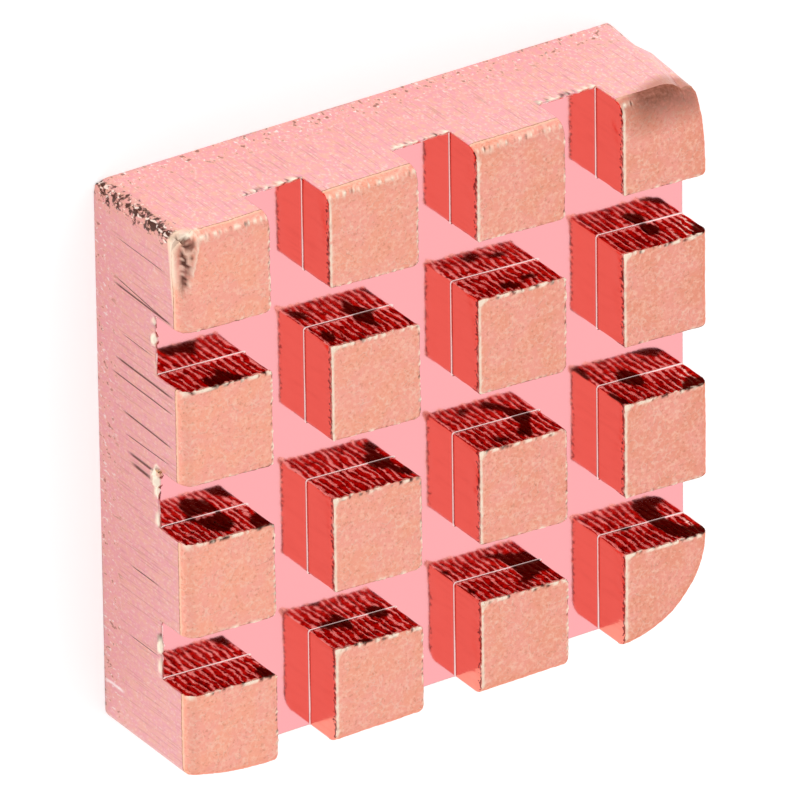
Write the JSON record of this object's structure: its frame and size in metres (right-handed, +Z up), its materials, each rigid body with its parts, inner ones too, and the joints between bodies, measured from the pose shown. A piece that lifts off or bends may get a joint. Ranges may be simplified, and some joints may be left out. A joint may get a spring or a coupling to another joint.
{
  "type": "pin fin heat sink",
  "caption": "Small square heat sink of solid copper, with short square pins on a thick base; its flat underside carries heat away from a memory or controller chip.",
  "frame": {"origin": "middle of the underside, on the plane that the chip touches", "axes": "+Z up from the underside through the pins, +X across the sawn channels, +Y along them"},
  "size_m": [0.012, 0.0118, 0.003],
  "materials": {
    "copper": "bare copper, sawn and milled, with tumbled pin ends"
  },
  "bodies": {
    "root": {"heat_sink": "copper"}
  },
  "joints": []
}
